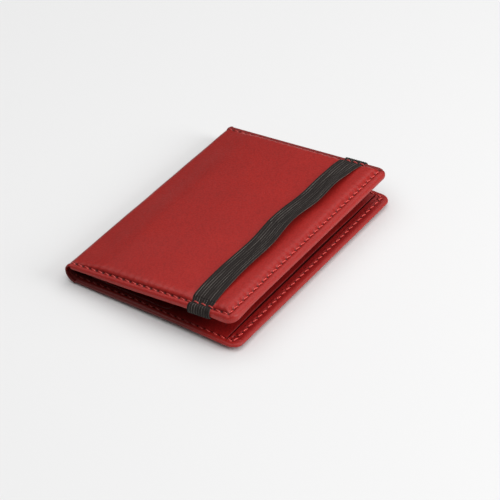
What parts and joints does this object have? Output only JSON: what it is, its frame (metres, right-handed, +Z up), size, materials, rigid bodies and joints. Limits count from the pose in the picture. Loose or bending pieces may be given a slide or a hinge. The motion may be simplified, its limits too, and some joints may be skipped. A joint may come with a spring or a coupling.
{
  "type": "folding card holder",
  "caption": "Folding leather holder for business cards: padded covers on a flexible spine, inner card pockets and an elastic band round the upper cover.",
  "frame": {"origin": "centre of the resting holder's bounding box in plan, on the surface it lies on", "axes": "+X from the spine to the opening edge, +Y along the spine away from the viewer, +Z up through the covers"},
  "size_m": [0.0778, 0.1138, 0.0177],
  "materials": {
    "red_leather": "fine-grained semi-matt leather with a soft sheen",
    "red_lining": "matt woven lining",
    "red_thread": "twisted thread with a slight shine",
    "dark_elastic": "ribbed woven elastic, matt",
    "grey_board": "plain grey pressed board",
    "pale_foam": "soft sheet foam"
  },
  "bodies": {
    "lower_cover": {"lower_cover_leather": "red_leather", "lower_cover_foam_padding": "pale_foam", "lower_cover_stiffener_board": "grey_board", "lower_cover_lining": "red_lining", "lower_cover_mouth_strip": "red_leather", "lower_cover_card_pocket": "red_leather", "lower_cover_card_slot": "red_leather", "lower_cover_needle_thread": "red_thread", "lower_cover_bobbin_thread": "red_thread"},
    "spine": {"spine_leather": "red_leather", "spine_reinforcement": "grey_board", "spine_lining": "red_lining"},
    "upper_cover": {"upper_cover_leather": "red_leather", "upper_cover_foam_padding": "pale_foam", "upper_cover_stiffener_board": "grey_board", "upper_cover_lining": "red_lining", "upper_cover_mouth_strip": "red_leather", "upper_cover_card_pocket": "red_leather", "upper_cover_needle_thread": "red_thread", "upper_cover_bobbin_thread": "red_thread", "elastic_front_anchor": "dark_elastic", "elastic_back_anchor": "dark_elastic"},
    "elastic_band": {"elastic_band_span": "dark_elastic"}
  },
  "joints": [
    {"name": "spine_hinge", "type": "hinge", "parent": "lower_cover", "child": "spine", "pos_m": [-0.03775, 0, 0.0015], "axis": [0, -1, 0], "range_deg": [-3, 87]},
    {"name": "cover_hinge", "type": "hinge", "parent": "spine", "child": "upper_cover", "pos_m": [-0.0384, 0, 0.00742], "axis": [0, -1, 0], "range_deg": [-3, 87]},
    {"name": "elastic_lift", "type": "slide", "parent": "upper_cover", "child": "elastic_band", "axis": [-0.1045, 0, 0.9945], "range_m": [0, 0.015], "stiffness_N_per_m": 80}
  ],
  "couplings": [
    {"joint": "spine_hinge", "follows": "cover_hinge", "ratio": 1}
  ]
}
